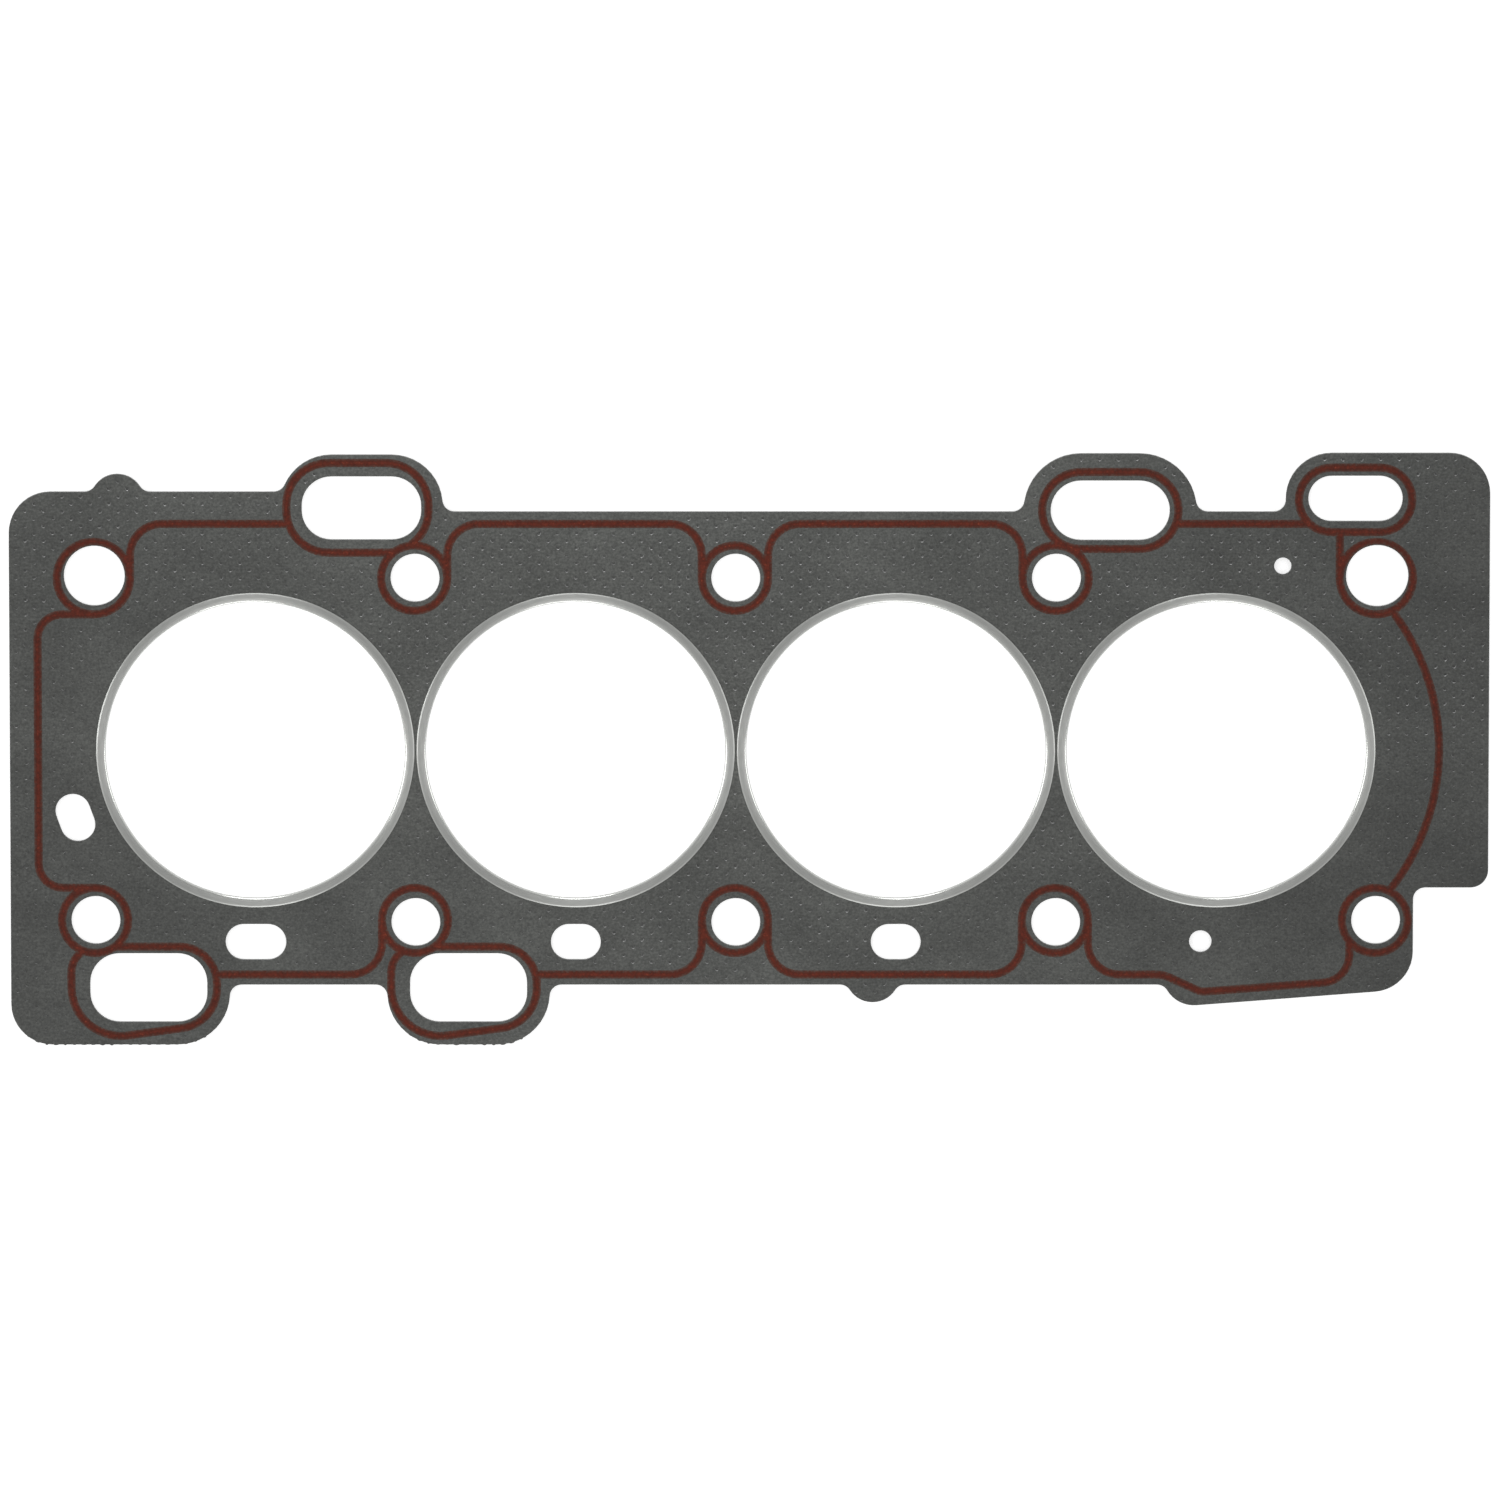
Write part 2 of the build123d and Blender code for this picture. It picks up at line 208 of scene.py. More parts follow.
# Marks of the tangs: a centred lattice of small dents, with their depth at rings round their middle
mark_pitch_x = 5.302
mark_pitch_y = 4.25
mark_start = (21.05, 51.7)
mark_rings = {0.95: 0.0, 0.7: 0.04, 0.34: -0.2}
mark_depth = -0.24
mark_sides = 8
mark_margin = 1.0
mark_jitter = 0.12

# Strength of the marks in the middle, how it changes upwards and outwards, and by patches and chance
mark_middle = 0.85
mark_rise = 0.0025
mark_fall = 0.0014
mark_patch = 38.0
mark_patch_share = 0.3
mark_spread = 0.18
mark_least = 0.15

# Tips of the tangs: crescents of steel on the lower lips of the dents, partly a painted highlight for the
# light on those lips, and their least sizes as shares
tip_radius = 0.6
tip_width = 0.38
tip_least_width = 0.4
tip_end_width = 0.25
tip_painted_highlight_side = 270.0
tip_spread = 40.0
tip_span = 190.0
tip_least_span = 0.5
tip_rise = 0.08
tip_foot = -0.06
tip_steps = 5


def flat_face(node, level):
    """The triangles of a node that lie flat at a height, as places, and the rest of its triangles."""
    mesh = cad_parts[node].data
    mesh.calc_loop_triangles()
    flat = []
    rest = []
    for triangle in mesh.loop_triangles:
        corners = [mesh.vertices[i].co.copy() for i in triangle.vertices]
        if all(abs(corner.z - level) < level_tolerance * MM for corner in corners):
            flat.append(corners)
        else:
            rest.append(corners)
    return flat, rest


def key_of(corner):
    """A corner in whole small steps, so that equal corners of two triangles have the same key."""
    return tuple(round(part * key_scale) for part in corner)


def outline_of(triangles):
    """The edges that only one of the triangles has, which go round the face and round each of its holes."""
    count = {}
    for corners in triangles:
        for i in range(3):
            ends = (corners[i], corners[(i + 1) % 3])
            name = tuple(sorted(key_of(end) for end in ends))
            if name in count:
                count[name] = None
            else:
                count[name] = ends
    return [ends for ends in count.values() if ends is not None]


def divided(edges, step):
    """The same edges, with each long one cut into pieces of about a step."""
    pieces = []
    for start, end in edges:
        parts = max(1, round((end - start).length / (step * MM)))
        for i in range(parts):
            pieces.append((start.lerp(end, i / parts), start.lerp(end, (i + 1) / parts)))
    return pieces


class Outline:
    """Edges of a flat face, asked for the distance from a point to the nearest one."""

    def __init__(self, edges, reach):
        longest = max((end - start).length for start, end in edges)
        self.edges = edges
        self.reach = reach * MM
        self.search = self.reach + longest
        self.tree = kdtree.KDTree(len(edges))
        for i, (start, end) in enumerate(edges):
            middle = (start + end) / 2
            self.tree.insert((middle.x, middle.y, 0.0), i)
        self.tree.balance()

    def distance(self, x, y):
        """The distance to the nearest edge in millimetres, or the reach where none is nearer."""
        nearest = self.reach
        for _, i, _ in self.tree.find_range((x, y, 0.0), self.search):
            start, end = self.edges[i]
            run_x = end.x - start.x
            run_y = end.y - start.y
            along = ((x - start.x) * run_x + (y - start.y) * run_y) / (run_x**2 + run_y**2)
            along = min(1.0, max(0.0, along))
            gap = math.hypot(x - start.x - along * run_x, y - start.y - along * run_y)
            nearest = min(nearest, gap)
        return nearest / MM


class Cover:
    """The triangles of a flat face, asked whether they cover a point."""

    def __init__(self, flat):
        self.above = flat[0][0].z + ray_height * MM
        self.tree = BVHTree.FromPolygons(
            [corner for triangle in flat for corner in triangle],
            [(i, i + 1, i + 2) for i in range(0, 3 * len(flat), 3)],
        )

    def has(self, x, y):
        """Whether the face lies under a point."""
        hit = self.tree.ray_cast((x, y, self.above), (0.0, 0.0, -1.0), 2 * ray_height * MM)
        return hit[0] is not None


def filled(flat, edges, points):
    """Triangles that fill a flat face with points added: its corners as (x, y, number), and the triangles.

    The triangles face up. The number of a corner is that of its point, or None where it is on the outline.
    """
    places = []
    index = {}
    bounds = []
    for start, end in edges:
        pair = []
        for corner in (start, end):
            name = key_of(corner)
            if name not in index:
                index[name] = len(places)
                places.append(Vector((corner.x, corner.y)))
            pair.append(index[name])
        bounds.append(tuple(pair))
    rim = len(places)
    places.extend(Vector((x, y)) for x, y in points)
    inside_only = 1
    answer = geometry.delaunay_2d_cdt(places, bounds, [], inside_only, join_distance)
    made, _, triangles, origins, _, _ = answer
    corners = [
        (place.x, place.y, None if min(origin) < rim else origin[0] - rim)
        for place, origin in zip(made, origins)
    ]
    cover = Cover(flat)
    kept = []
    for triangle in triangles:
        x = sum(made[i].x for i in triangle) / 3
        y = sum(made[i].y for i in triangle) / 3
        if cover.has(x, y):
            kept.append(tuple(triangle))
    return corners, kept


def new_object(name, places, faces, material, body="root"):
    """A mesh piece of the gasket, smooth where its faces meet at a small angle."""
    mesh = bpy.data.meshes.new(name)
    mesh.from_pydata([tuple(place) for place in places], [], faces)
    mesh.validate()
    mesh.shade_smooth()
    mesh.set_sharp_from_angle(angle=math.radians(sharp_angle))
    mesh.materials.append(material)
    piece = bpy.data.objects.new(name, mesh)
    bpy.context.scene.collection.objects.link(piece)
    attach(piece, body)
    return piece


def merged(name, triangles, material):
    """A piece made of loose triangles, with the corners that they share joined."""
    index = {}
    places = []
    faces = []
    for corners in triangles:
        face = []
        for corner in corners:
            key = key_of(corner)
            if key not in index:
                index[key] = len(places)
                places.append(corner)
            face.append(index[key])
        if len(set(face)) == 3:
            faces.append(face)
    return new_object(name, places, faces, material)


def turned(faces, kept):
    """The same faces, left as they are where they are kept, or else turned over."""
    return faces if kept else [tuple(reversed(face)) for face in faces]


def stored(piece, name, values):
    """Keeps a number at each corner of a piece, for its material."""
    numbers = piece.data.attributes.new(name, "FLOAT", "POINT")
    numbers.data.foreach_set("value", values)


class Graph:
    """The nodes of one material, with short ways to add and join them."""

    def __init__(self, name):
        self.material = bpy.data.materials.new(name)
        self.material.use_nodes = True
        self.tree = self.material.node_tree
        self.shader = self.tree.nodes["Principled BSDF"]
        self.output = self.tree.nodes["Material Output"]

    def set(self, **values):
        """Constant values of the shader's own sockets."""
        for name, value in values.items():
            self.shader.inputs[name.replace("_", " ")].default_value = value

    def join(self, source, target):
        """A link from one socket to another."""
        self.tree.links.new(source, target)

    def place(self):
        """Places on the gasket in millimetres."""
        coordinates = self.tree.nodes.new("ShaderNodeTexCoord")
        scaled = self.tree.nodes.new("ShaderNodeVectorMath")
        scaled.operation = "SCALE"
        scaled.inputs["Scale"].default_value = 1 / MM
        self.join(coordinates.outputs["Object"], scaled.inputs[0])
        return scaled.outputs["Vector"]

    def parts(self, place):
        """The x, y and z of a place."""
        node = self.tree.nodes.new("ShaderNodeSeparateXYZ")
        self.join(place, node.inputs[0])
        return node.outputs

    def falloff(self, place, depth):
        """A factor that paints shade on a colour, making it darker towards both ends of the gasket."""
        run = self.math("ADD", self.parts(place)["X"], end_shift)
        square = self.math("POWER", self.math("MULTIPLY", run, end_slope), 2.0)
        return self.math("SUBTRACT", 1.0, self.math("MULTIPLY", square, depth))

    def attribute(self, name):
        """A number that the mesh keeps at its corners."""
        node = self.tree.nodes.new("ShaderNodeAttribute")
        node.attribute_name = name
        return node.outputs["Fac"]

    def scaled(self, colour, factor):
        """A colour made lighter or darker by a factor."""
        node = self.tree.nodes.new("ShaderNodeVectorMath")
        node.operation = "SCALE"
        self.join(colour, node.inputs[0])
        self.join(factor, node.inputs["Scale"])
        return node.outputs["Vector"]

    def stretched(self, place, factors):
        """Places with each direction multiplied by its own factor."""
        product = self.tree.nodes.new("ShaderNodeVectorMath")
        product.operation = "MULTIPLY"
        self.join(place, product.inputs[0])
        product.inputs[1].default_value = factors
        return product.outputs["Vector"]

    def noise(self, place, name):
        """One of the noises, from 0 to 1."""
        node = self.tree.nodes.new("ShaderNodeTexNoise")
        for socket, value in noises[name].items():
            node.inputs[socket].default_value = value
        self.join(place, node.inputs["Vector"])
        return node.outputs["Fac"]

    def math(self, operation, first, second=None):
        """A sum, product or other operation on values or sockets."""
        node = self.tree.nodes.new("ShaderNodeMath")
        node.operation = operation
        for i, value in enumerate((first, second)):
            if isinstance(value, bpy.types.NodeSocket):
                self.join(value, node.inputs[i])
            elif value is not None:
                node.inputs[i].default_value = value
        return node.outputs["Value"]

    def sum_of(self, *terms):
        """The sum of terms, each a socket with the factor that it is multiplied by."""
        total = self.math("MULTIPLY", *terms[0])
        for socket, factor in terms[1:]:
            total = self.math("ADD", total, self.math("MULTIPLY", socket, factor))
        return total

    def polar(self):
        """A place on a round piece, as a part of its outer radius and its direction as a unit vector."""
        coordinates = self.tree.nodes.new("ShaderNodeTexCoord")
        middle = self.tree.nodes.new("ShaderNodeVectorMath")
        middle.operation = "SUBTRACT"
        self.join(coordinates.outputs["Generated"], middle.inputs[0])
        middle.inputs[1].default_value = (0.5, 0.5, 0.5)
        out = self.stretched(middle.outputs["Vector"], (2.0, 2.0, 0.0))
        length = self.tree.nodes.new("ShaderNodeVectorMath")
        length.operation = "LENGTH"
        self.join(out, length.inputs[0])
        direction = self.tree.nodes.new("ShaderNodeVectorMath")
        direction.operation = "NORMALIZE"
        self.join(out, direction.inputs[0])
        return length.outputs["Value"], direction.outputs["Vector"]

    def ramp(self, value, stops, blend="LINEAR"):
        """Colours that follow a value from 0 to 1; a stop may also be a plain number."""
        node = self.tree.nodes.new("ShaderNodeValToRGB")
        node.color_ramp.interpolation = blend
        elements = node.color_ramp.elements
        while len(elements) < len(stops):
            elements.new(0.5)
        for element, (position, colour) in zip(elements, stops.items()):
            element.position = position
            parts = (colour,) * 3 if isinstance(colour, float) else colour
            element.color = (*parts, 1.0)
        self.join(value, node.inputs["Fac"])
        return node.outputs["Color"]

    def greys(self, value, levels, tint=(1.0, 1.0, 1.0)):
        """Tinted greys that follow a value from 0 to 1, given as display levels between 0 and 255."""
        return self.ramp(value, {position: grey(level, tint) for position, level in levels.items()})

    def between(self, value, low, high):
        """A value from 0 to 1 brought to a range."""
        node = self.tree.nodes.new("ShaderNodeMapRange")
        node.inputs["To Min"].default_value = low
        node.inputs["To Max"].default_value = high
        self.join(value, node.inputs["Value"])
        return node.outputs["Result"]

    def bump(self, height, depth, strength=1.0):
        """Bump whose height value of 1 stands a depth in millimetres above 0."""
        node = self.tree.nodes.new("ShaderNodeBump")
        node.inputs["Strength"].default_value = strength
        node.inputs["Distance"].default_value = depth * MM
        self.join(height, node.inputs["Height"])
        self.join(node.outputs["Normal"], self.shader.inputs["Normal"])


def grey(level, tint=(1.0, 1.0, 1.0)):
    """A linear colour from a display grey between 0 and 255, with a tint."""
    value = level / 255
    linear = value / 12.92 if value <= 0.04045 else ((value + 0.055) / 1.055) ** 2.4
    return tuple(linear * part for part in tint)


def display(red, green, blue):
    """A linear colour from display values between 0 and 255."""
    return tuple(grey(level)[0] for level in (red, green, blue))


def graphite_material():
    """Rolled flexible graphite: matt dark grey, faintly drawn out along the sheet, and blotchy.

    It is paler between the bores and along both long edges and darker downwards; painted shade makes it
    darker towards both ends and darkest in its dents.
    """
    graph = Graph("graphite")
    place = graph.place()
    streaks = graph.noise(graph.stretched(place, streak_stretch), "streaks")
    grain = graph.noise(place, "grain")
    clouds = graph.noise(graph.stretched(place, cloud_stretch), "clouds")
    blend = graph.sum_of((streaks, streak_share), (grain, grain_share), (clouds, cloud_share))
    colour = graph.greys(blend, graphite_greys, graphite_tint)
    upward = graph.parts(place)["Y"]
    bands = graph.math("COSINE", graph.math("MULTIPLY", upward, math.tau / band_pitch))
    # Painted shade towards both ends of the gasket
    ends = graph.falloff(place, graphite_end_painted_shade)
    tone = graph.math("ADD", graph.math("MULTIPLY", bands, band_gain), ends)
    tone = graph.math("ADD", tone, graph.math("MULTIPLY", upward, upward_gain))
    # Painted shade in the dents, by the share of its depth that each corner keeps
    tone = graph.math("SUBTRACT", tone, graph.math("MULTIPLY", graph.attribute("dent"), dent_painted_shade))
    graph.join(graph.scaled(colour, tone), graph.shader.inputs["Base Color"])
    graph.join(graph.between(streaks, *graphite_roughness), graph.shader.inputs["Roughness"])
    relief = graph.math("ADD", streaks, graph.math("MULTIPLY", grain, graphite_grain_rise))
    graph.bump(relief, graphite_bump_depth, graphite_bump_strength)
    return graph.material


def silicone_material():
    """Screen-printed silicone: brick red along the crown and thin and dark at its edges."""
    graph = Graph("silicone")
    place = graph.place()
    speckle = graph.noise(place, "speckle")
    wander = graph.math("MULTIPLY", graph.math("SUBTRACT", speckle, 0.5), silicone_speckle_share)
    crown = graph.math("MULTIPLY", graph.attribute("crown"), silicone_crown_share)
    stops = {position: display(*colour) for position, colour in silicone_colours.items()}
    colour = graph.ramp(graph.math("ADD", crown, wander), stops)
    patches = graph.between(graph.noise(place, "patches"), *silicone_patches)
    # Painted shade towards both ends, times random patches of tone
    tone = graph.math("MULTIPLY", graph.falloff(place, silicone_end_painted_shade), patches)
    graph.join(graph.scaled(colour, tone), graph.shader.inputs["Base Color"])
    graph.set(Roughness=silicone_roughness, Specular_IOR_Level=silicone_gloss)
    graph.bump(speckle, silicone_bump_depth, silicone_bump_strength)
    return graph.material


def ring_material():
    """Satin stainless sheet, brushed round each ring, whose flange rolls off softly to its two edges."""
    graph = Graph("ring_steel")
    # Painted shade: a dark specular tint darkens the steel where it is seen edge-on
    graph.set(Metallic=1.0, Specular_Tint=ring_edge_painted_shade)
    graph.set(Anisotropic=ring_anisotropy, Anisotropic_Rotation=ring_brush_turn)
    tangent = graph.tree.nodes.new("ShaderNodeTangent")
    tangent.direction_type = "RADIAL"
    tangent.axis = "Z"
    graph.join(tangent.outputs["Tangent"], graph.shader.inputs["Tangent"])
    radius, direction = graph.polar()
    lines = graph.tree.nodes.new("ShaderNodeCombineXYZ")
    graph.join(graph.math("MULTIPLY", radius, ring_brush_lines), lines.inputs["Z"])
    around = graph.tree.nodes.new("ShaderNodeVectorMath")
    around.operation = "ADD"
    graph.join(graph.stretched(direction, (ring_brush_parts, ring_brush_parts, 0.0)), around.inputs[0])
    graph.join(lines.outputs["Vector"], around.inputs[1])
    brushing = graph.noise(around.outputs["Vector"], "brushing")
    graph.join(graph.greys(brushing, ring_greys, ring_tint), graph.shader.inputs["Base Color"])
    graph.join(graph.ramp(radius, ring_roughness), graph.shader.inputs["Roughness"])
    rolled = graph.ramp(radius, ring_roll, "EASE")
    relief = graph.math("ADD", rolled, graph.math("MULTIPLY", brushing, ring_brush_rise))
    graph.bump(relief, ring_roll_depth)
    return graph.material


def core_material(name, levels):
    """Plain cold rolled steel in some greys."""
    graph = Graph(name)
    graph.set(Metallic=1.0, Roughness=core_roughness)
    rolling = graph.noise(graph.place(), "rolling")
    graph.join(graph.greys(rolling, levels), graph.shader.inputs["Base Color"])
    return graph.material


def ring_section(outer, height):
    """The folded section of a fire ring as (radius, height) in metres, from its lower outer corner on."""
    bore = ring_bore_radius * MM
    bend = ring_bend_radius * MM
    sheet = ring_sheet * MM
    slope = (bend - sheet) * (2 - math.sqrt(2))
    centre = bore + bend
    section = [(outer, 0.0), (centre + ring_land * MM, 0.0)]
    for step in range(bend_steps + 1):
        turn = math.pi / 2 * step / bend_steps
        section.append((centre - bend * math.sin(turn), bend - bend * math.cos(turn)))
    section += [(radius, height - rise) for radius, rise in reversed(section)]
    wall = bore + sheet
    inside = [(outer, sheet), (wall + slope, sheet), (wall, sheet + slope)]
    section += [(radius, height - rise) for radius, rise in inside]
    return section + inside[::-1]


def ring_piece(node, name, material):
    """A fire ring turned finely from its own section, so that light runs evenly round its bends."""
    low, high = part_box(node)
    middle = (low + high) / 2
    section = ring_section((high.x - low.x) / 2, high.z - low.z)
    places = []
    for step in range(ring_steps):
        turn = math.tau * step / ring_steps
        for radius, rise in section:
            x = middle.x + radius * math.cos(turn)
            y = middle.y + radius * math.sin(turn)
            places.append((x, y, low.z + rise))
    count = len(section)
    faces = []
    for step in range(ring_steps):
        here = step * count
        there = (step + 1) % ring_steps * count
        for corner in range(count):
            after = (corner + 1) % count
            faces.append((here + corner, here + after, there + after, there + corner))
    piece = new_object(name, places, faces, material)
    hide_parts(node)


def bead_piece(node, name, foot, crown, material):
    """The printed bead of one face, with the solid's outline and a rounded back. Returns the outline."""
    flat, _ = flat_face(node, crown)
    edges = divided(outline_of(flat), bead_step)
    outline = Outline(edges, bead_half_width)
    points = []
    for start, end in edges:
        middle = (start + end) / 2
        run = (end - start).normalized()
        for row in bead_rows:
            for side in (-1, 1):
                x = middle.x - side * run.y * row * MM
                y = middle.y + side * run.x * row * MM
                if outline.distance(x, y) > bead_row_clearance * row:
                    points.append((x, y))
    corners, faces = filled(flat, edges, points)
    rows = [0.0, *bead_rows]
    rises = [0.0, *bead_rows.values()]
    inside = [0.0 if number is None else outline.distance(x, y) for x, y, number in corners]
    places = [
        (x, y, foot + float(np.interp(gap, rows, rises)) * (crown - foot))
        for (x, y, _), gap in zip(corners, inside)
    ]
    piece = new_object(name, places, turned(faces, crown > foot), material)
    stored(piece, "crown", [min(1.0, gap / (bead_crown_start * bead_half_width)) for gap in inside])
    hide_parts(node)
    return outline


def mark_strength(x, y):
    """How strongly a tang has marked the face at a place, from 0 to 1."""
    patch = noise.noise(Vector((x / mark_patch, y / mark_patch, 0.0)))
    trend = mark_middle + y * mark_rise - abs(x) * mark_fall
    chance = random.uniform(-mark_spread, mark_spread)
    return min(1.0, max(0.0, trend + mark_patch_share * patch + chance))


def mark_places(outlines, low, high):
    """Where the tangs have marked a face, as (x, y, strength): a lattice that keeps clear of outlines."""
    found = []
    start_x, start_y = mark_start
    half_x = mark_pitch_x / 2
    half_y = mark_pitch_y / 2
    first_row = math.ceil((low.y / MM - start_y) / half_y)
    last_row = int((high.y / MM - start_y) / half_y)
    for row in range(first_row, last_row + 1):
        shift = half_x * (row % 2)
        first = math.ceil((low.x / MM - start_x - shift) / mark_pitch_x)
        last = int((high.x / MM - start_x - shift) / mark_pitch_x)
        for column in range(first, last + 1):
            x = start_x + shift + column * mark_pitch_x + random.uniform(-mark_jitter, mark_jitter)
            y = start_y + row * half_y + random.uniform(-mark_jitter, mark_jitter)
            strength = mark_strength(x, y)
            clear = all(edge.distance(x * MM, y * MM) >= mark_margin for edge in outlines)
            if strength > mark_least and clear:
                found.append((x, y, strength))
    return found


def tips_piece(name, marks, level, out, material):
    """The bent tips of the core's tangs, crescents on the lips of the dents, as one piece for a face.

    Set on the lower lips, they are partly a painted highlight for the light there.
    """
    places = []
    faces = []
    for x, y, strength in marks:
        start = len(places)
        middle = math.radians(tip_painted_highlight_side + random.uniform(-tip_spread, tip_spread))
        span = math.radians(tip_span) * grown(tip_least_span, strength)
        width = tip_width * grown(tip_least_width, strength)
        for step in range(tip_steps + 1):
            angle = middle + span * (step / tip_steps - 0.5)
            bulge = math.sin(math.pi * step / tip_steps)
            for row, rise in ((-0.5, tip_foot), (0.0, tip_rise * bulge), (0.5, tip_foot)):
                radius = tip_radius + row * width * grown(tip_end_width, bulge)
                spot = Vector((x + radius * math.cos(angle), y + radius * math.sin(angle), 0.0)) * MM
                spot.z = level + out * rise * MM
                places.append(spot)
        for step in range(tip_steps):
            corner = start + 3 * step
            faces.append((corner, corner + 3, corner + 4, corner + 1))
            faces.append((corner + 1, corner + 4, corner + 5, corner + 2))
    piece = new_object(name, places, turned(faces, out < 0), material)


def grown(least, part):
    """A share that runs from its least value to 1 as a part runs from 0 to 1."""
    return least + (1 - least) * part


def facing_piece(node, name, level, material, bead):
    """A graphite facing with its outer face cut anew, so that it carries the dents of the tangs.

    Returns the marks on it and the side that it faces.
    """
    flat, rest = flat_face(node, level)
    edges = outline_of(flat)
    outline = Outline(divided(edges, bead_step), mark_margin)
    cover = Cover(flat)
    low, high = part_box(node)
    out = 1.0 if level > (low.z + high.z) / 2 else -1.0
    found = mark_places((outline, bead), low, high)
    marks = [(x, y, strength) for x, y, strength in found if cover.has(x * MM, y * MM)]
    points = []
    depths = []
    for x, y, strength in marks:
        for radius, depth in mark_rings.items():
            for side in range(mark_sides):
                angle = math.tau * side / mark_sides
                points.append(((x + radius * math.cos(angle)) * MM, (y + radius * math.sin(angle)) * MM))
                depths.append(depth * strength)
        points.append((x * MM, y * MM))
        depths.append(mark_depth * strength)
    corners, faces = filled(flat, edges, points)
    heights = [0.0 if number is None else out * depths[number] * MM for _, _, number in corners]
    places = [Vector((x, y, level + height)) for (x, y, _), height in zip(corners, heights)]
    skin = [[places[i] for i in face] for face in turned(faces, out > 0)]
    piece = merged(name, skin + rest, material)
    # How deep each corner lies in a dent, for the painted shade there
    gaps = [abs(corner.co.z - level) / MM for corner in piece.data.vertices]
    stored(piece, "dent", [gap / -mark_depth if gap <= -mark_depth else 0.0 for gap in gaps])
    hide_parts(node)
    return marks, out


def burrs_piece(name, level, low, material):
    """The burrs that the tangs have raised along the sheared lower edges of the two lower lobes."""
    flat, _ = flat_face("upper_facing", level)
    places = []
    faces = []
    for start, end in outline_of(flat):
        if max(start.y, end.y) > burr_top * MM:
            continue
        first = math.ceil(min(start.x, end.x) / MM / burr_pitch)
        last = math.floor(max(start.x, end.x) / MM / burr_pitch)
        run = (end - start).normalized()
        out = Vector((run.y, -run.x, 0.0))
        for number in range(first, last + 1):
            x = number * burr_pitch * MM
            spot = start.lerp(end, (x - start.x) / (end.x - start.x))
            half = run * random.uniform(*burr_half_width) * MM
            reach = out * random.uniform(*burr_reach) * MM
            tip = half / burr_taper
            corners = [spot - half, spot - tip + reach, spot + tip + reach, spot + half]
            base = len(places)
            for height in (level, low):
                places.extend(Vector((corner.x, corner.y, height)) for corner in corners)
            faces.append((base, base + 1, base + 2, base + 3))
            faces.append((base + 7, base + 6, base + 5, base + 4))
            for i in range(3):
                faces.append((base + i + 1, base + i, base + 4 + i, base + 5 + i))
    piece = new_object(name, places, faces, material)


def camera():
    """The camera, far above the gasket and a little towards its upper edge."""
    data = bpy.data.cameras.new("camera")
    data.sensor_width = sensor_width
    data.lens = sensor_width * camera_distance / view_width
    seen = bpy.data.objects.new("camera", data)
    tilt = math.radians(camera_tilt)
    middle = Vector((view_centre[0] * MM, view_centre[1] * MM, cad_high.z))
    seen.location = middle + Vector((0.0, math.sin(tilt), math.cos(tilt))) * camera_distance * MM
    seen.rotation_euler = (-tilt, 0.0, 0.0)
    bpy.context.scene.collection.objects.link(seen)
    bpy.context.scene.camera = seen


def lamp(name, azimuth, elevation, size, share):
    """A square soft lamp that gives a white floor a share of its full brightness."""
    data = bpy.data.lights.new(name, "AREA")
    data.size = size * MM
    distance = lamp_distance * MM
    data.energy = share * math.pi**2 * distance**2 / math.sin(math.radians(elevation))
    flat = math.cos(math.radians(elevation))
    towards = Vector(
        (
            flat * math.cos(math.radians(azimuth)),
            flat * math.sin(math.radians(azimuth)),
            math.sin(math.radians(elevation)),
        )
    )
    shining = bpy.data.objects.new(name, data)
    shining.location = towards * distance
    shining.rotation_euler = towards.to_track_quat("Z", "Y").to_euler()
    bpy.context.scene.collection.objects.link(shining)


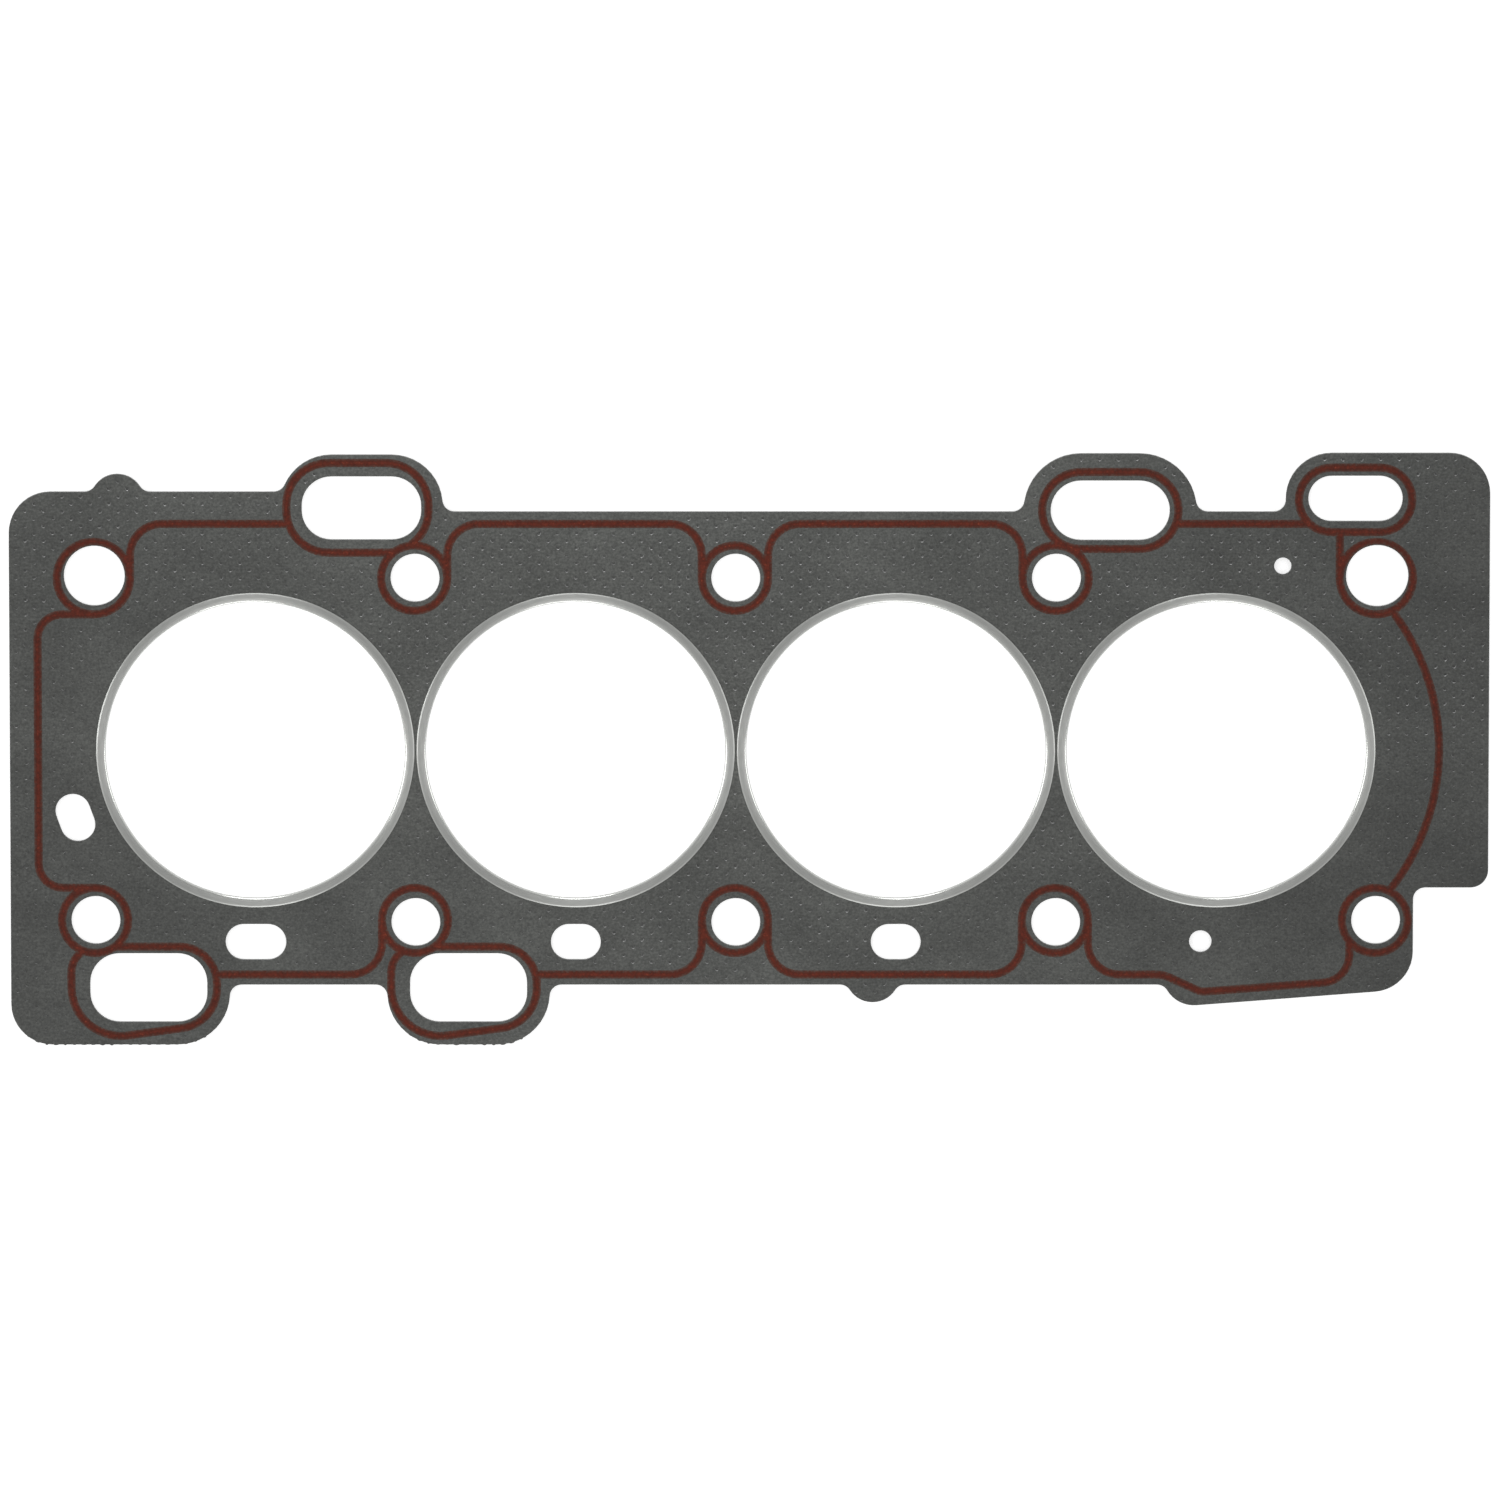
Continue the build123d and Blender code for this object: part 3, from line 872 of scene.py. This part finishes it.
def floor():
    """A white table top under the gasket, which still takes its shadow."""
    graph = Graph("table")
    graph.set(Roughness=floor_roughness, Specular_IOR_Level=0.0)
    graph.set(Base_Color=(floor_albedo, floor_albedo, floor_albedo, 1.0))
    path = graph.tree.nodes.new("ShaderNodeLightPath")
    seen = graph.math("MAXIMUM", path.outputs["Is Camera Ray"], path.outputs["Is Glossy Ray"])
    seen = graph.math("MAXIMUM", seen, path.outputs["Is Transmission Ray"])
    glow = graph.tree.nodes.new("ShaderNodeEmission")
    graph.join(graph.math("MULTIPLY", seen, floor_lift), glow.inputs["Strength"])
    both = graph.tree.nodes.new("ShaderNodeAddShader")
    graph.join(graph.shader.outputs["BSDF"], both.inputs[0])
    graph.join(glow.outputs["Emission"], both.inputs[1])
    graph.join(both.outputs["Shader"], graph.output.inputs["Surface"])
    half = floor_size * MM / 2
    mesh = bpy.data.meshes.new("table_top")
    corners = [(-half, -half, 0.0), (half, -half, 0.0), (half, half, 0.0), (-half, half, 0.0)]
    mesh.from_pydata(corners, [], [(0, 1, 2, 3)])
    mesh.materials.append(graph.material)
    table = bpy.data.objects.new("table_top", mesh)
    table.location.z = cad_low.z - floor_gap * MM
    bpy.context.scene.collection.objects.link(table)


def sky():
    """The white light of a tent, whose walls are brighter than its top."""
    world = bpy.data.worlds.new("sky")
    world.use_nodes = True
    nodes = world.node_tree.nodes
    links = world.node_tree.links
    background = nodes["Background"]
    background.inputs["Color"].default_value = (1.0, 1.0, 1.0, 1.0)
    coordinates = nodes.new("ShaderNodeTexCoord")
    split = nodes.new("ShaderNodeSeparateXYZ")
    links.new(coordinates.outputs["Generated"], split.inputs[0])
    strength = nodes.new("ShaderNodeMapRange")
    strength.inputs["From Min"].default_value = math.sin(math.radians(wall_end))
    strength.inputs["From Max"].default_value = math.sin(math.radians(top_start))
    strength.inputs["To Min"].default_value = wall_strength
    strength.inputs["To Max"].default_value = top_strength
    links.new(split.outputs["Z"], strength.inputs["Value"])
    links.new(strength.outputs["Result"], background.inputs["Strength"])
    bpy.context.scene.world = world


graphite = graphite_material()
silicone = silicone_material()
ring_steel = ring_material()
core_steel = core_material("core_steel", core_greys)
tang_steel = core_material("tang_steel", tang_greys)
core_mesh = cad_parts["steel_core"].data
core_mesh.materials.clear()
core_mesh.materials.append(core_steel)
for number in range(1, ring_count + 1):
    ring_piece(f"fire_ring_{number}", f"fire_ring_{number}_fold", ring_steel)

random.seed(SEED)
for side, end in {"upper": 1, "lower": 0}.items():
    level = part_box(f"{side}_facing")[end].z
    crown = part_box(f"{side}_seal_bead")[end].z
    bead = bead_piece(f"{side}_seal_bead", f"{side}_bead_print", level, crown, silicone)
    marks, out = facing_piece(f"{side}_facing", f"{side}_graphite", level, graphite, bead)
    tips_piece(f"{side}_tang_tips", marks, level, out, tang_steel)

burrs_piece("shear_burrs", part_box("upper_facing")[1].z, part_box("upper_facing")[0].z, graphite)

camera()
sky()
floor()
for name, facts in lamps.items():
    lamp(name, **facts)
bpy.context.scene.view_settings.view_transform = "Standard"
